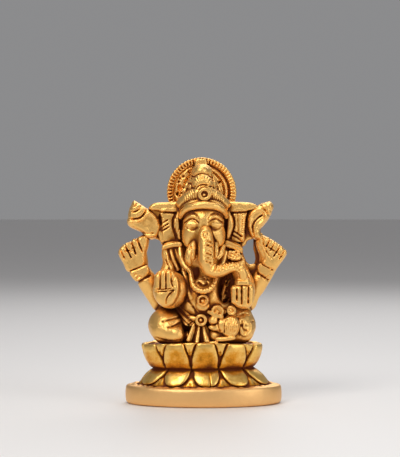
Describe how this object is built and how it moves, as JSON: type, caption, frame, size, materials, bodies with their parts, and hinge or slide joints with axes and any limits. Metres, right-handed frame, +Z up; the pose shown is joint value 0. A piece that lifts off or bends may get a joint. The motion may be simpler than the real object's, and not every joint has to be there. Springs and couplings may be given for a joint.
{
  "type": "ganesha idol",
  "caption": "Small cast brass figure of seated Ganesha with raised palm, curled trunk and round halo, on a double lotus and an oval plinth, for a shelf or prayer table.",
  "frame": {"origin": "centre of the plinth's flat underside, on the surface it rests on", "axes": "+Z up; the idol faces -Y; +X is to the viewer's right, the idol's own left"},
  "size_m": [0.0528, 0.032, 0.0766],
  "materials": {
    "antique_brass": "polished on the high spots, dark brown oxide left in the creases",
    "lotus_brass": "polished petals, dark oxide between them",
    "satin_brass": "satin, fine brushed edge"
  },
  "bodies": {
    "root": {"plinth": "satin_brass", "lower_lotus_core": "lotus_brass", "upper_lotus_core": "lotus_brass", "lower_petal_01": "lotus_brass", "lower_petal_02": "lotus_brass", "lower_petal_03": "lotus_brass", "lower_petal_04": "lotus_brass", "lower_petal_05": "lotus_brass", "lower_petal_06": "lotus_brass", "lower_petal_07": "lotus_brass", "lower_petal_08": "lotus_brass", "lower_petal_09": "lotus_brass", "lower_petal_10": "lotus_brass", "upper_petal_01": "lotus_brass", "upper_petal_02": "lotus_brass", "upper_petal_03": "lotus_brass", "upper_petal_04": "lotus_brass", "upper_petal_05": "lotus_brass", "upper_petal_06": "lotus_brass", "upper_petal_07": "lotus_brass", "upper_petal_08": "lotus_brass", "upper_petal_09": "lotus_brass", "upper_petal_10": "lotus_brass", "torso": "antique_brass", "right_leg": "antique_brass", "left_leg": "antique_brass", "head": "antique_brass", "crown": "antique_brass", "halo": "antique_brass", "halo_rim": "antique_brass", "right_ear": "antique_brass", "left_ear": "antique_brass", "headband": "antique_brass", "diadem": "antique_brass", "crown_boss": "antique_brass", "trunk": "antique_brass", "right_tusk": "antique_brass", "left_tusk": "antique_brass", "rear_right_arm": "antique_brass", "rear_left_arm": "antique_brass", "rear_right_bracelet": "antique_brass", "rear_left_bracelet": "antique_brass", "rear_right_hand": "antique_brass", "rear_left_hand": "antique_brass", "conch": "antique_brass", "goad": "antique_brass", "front_right_arm": "antique_brass", "front_right_hand": "antique_brass", "front_left_arm": "antique_brass", "front_left_bracelet": "antique_brass", "front_left_hand": "antique_brass", "right_armlet": "antique_brass", "left_armlet": "antique_brass", "necklace": "antique_brass", "waist_sash": "antique_brass", "navel_medallion": "antique_brass", "belt_buckle": "antique_brass", "sash_tassel": "antique_brass", "mouse": "antique_brass"}
  },
  "joints": []
}
